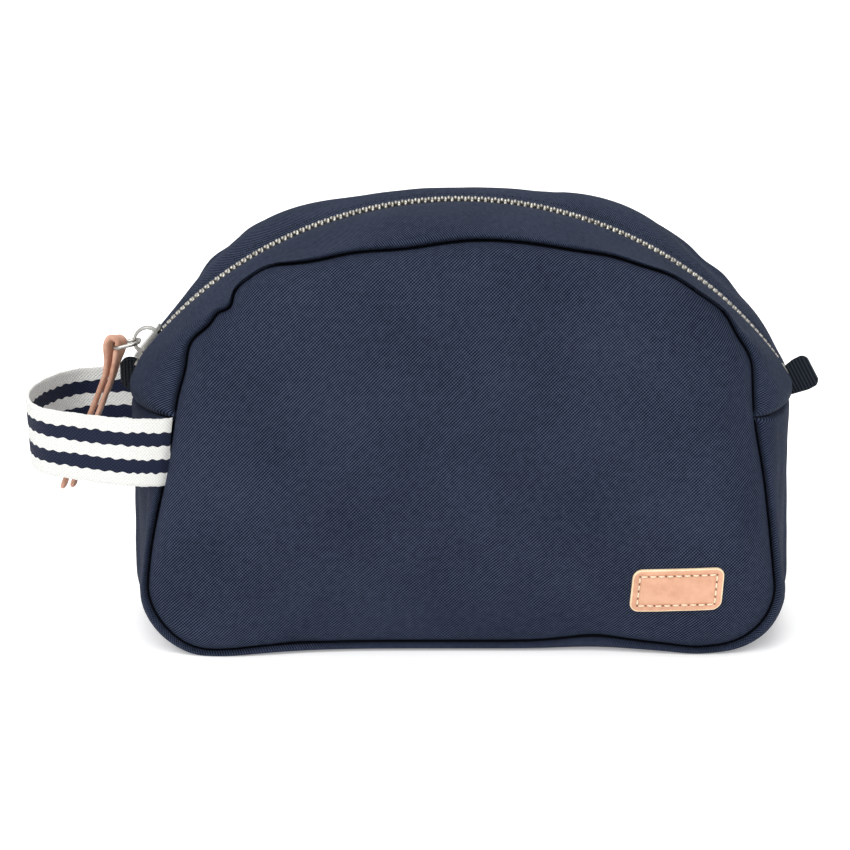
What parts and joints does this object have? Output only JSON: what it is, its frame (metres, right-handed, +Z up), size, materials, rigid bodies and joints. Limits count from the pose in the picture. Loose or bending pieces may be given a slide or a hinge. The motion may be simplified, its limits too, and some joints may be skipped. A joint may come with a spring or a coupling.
{
  "type": "shaving kit bag",
  "caption": "Dome-shaped padded toiletry bag with a curved metal zip over the top, a striped webbing side strap, a folded leather zip pull and a stitched leather patch.",
  "frame": {"origin": "on the surface the bag stands on, under the middle of its body", "axes": "+Z up, +X along the bag's width away from the side strap, -Y the front with the leather patch"},
  "size_m": [0.3067, 0.1018, 0.1677],
  "materials": {
    "navy_fabric": "coarse woven, matte",
    "lining": "smooth woven",
    "binding": "ribbed tape",
    "zip_tape": "fine woven tape",
    "zip_metal": "nickel plated",
    "nickel": "nickel plated, polished",
    "striped_webbing": "cotton webbing with navy stripes",
    "tab_webbing": "ribbed webbing",
    "leather": "natural, satin",
    "thread": "waxed thread"
  },
  "bodies": {
    "bag": {"lower_gusset": "navy_fabric", "front_zip_strip": "navy_fabric", "back_zip_strip": "navy_fabric", "front_panel": "navy_fabric", "back_panel": "navy_fabric", "gusset_lining": "lining", "front_strip_lining": "lining", "back_strip_lining": "lining", "front_lining": "lining", "back_lining": "lining", "front_seam_binding": "binding", "back_seam_binding": "binding", "front_zip_tape": "zip_tape", "back_zip_tape": "zip_tape", "front_zip_teeth": "zip_metal", "back_zip_teeth": "zip_metal", "zip_top_stops": "zip_metal", "zip_bottom_stop": "zip_metal", "strap_loop": "striped_webbing", "left_end_tab": "tab_webbing", "right_end_tab": "tab_webbing", "leather_patch": "leather", "patch_stitches": "thread"},
    "slider": {"slider_body": "nickel", "slider_bridge": "nickel"},
    "ring": {"pull_ring": "nickel"},
    "pull": {"leather_pull": "leather"}
  },
  "joints": [
    {"name": "slider_travel", "type": "hinge", "parent": "bag", "child": "slider", "pos_m": [-0.0015, 0, 0.0153], "axis": [0, 1, 0], "range_deg": [0, 103], "deforming": ["front_zip_tape", "back_zip_tape", "front_zip_teeth", "back_zip_teeth"]},
    {"name": "ring_swing", "type": "hinge", "parent": "slider", "child": "ring", "pos_m": [-0.12338, 0, 0.11117], "axis": [0, 1, 0], "range_deg": [0, 5]},
    {"name": "pull_swing", "type": "hinge", "parent": "ring", "child": "pull", "pos_m": [-0.13278, 0, 0.10897], "axis": [0, 1, 0], "range_deg": [0, 7]}
  ]
}
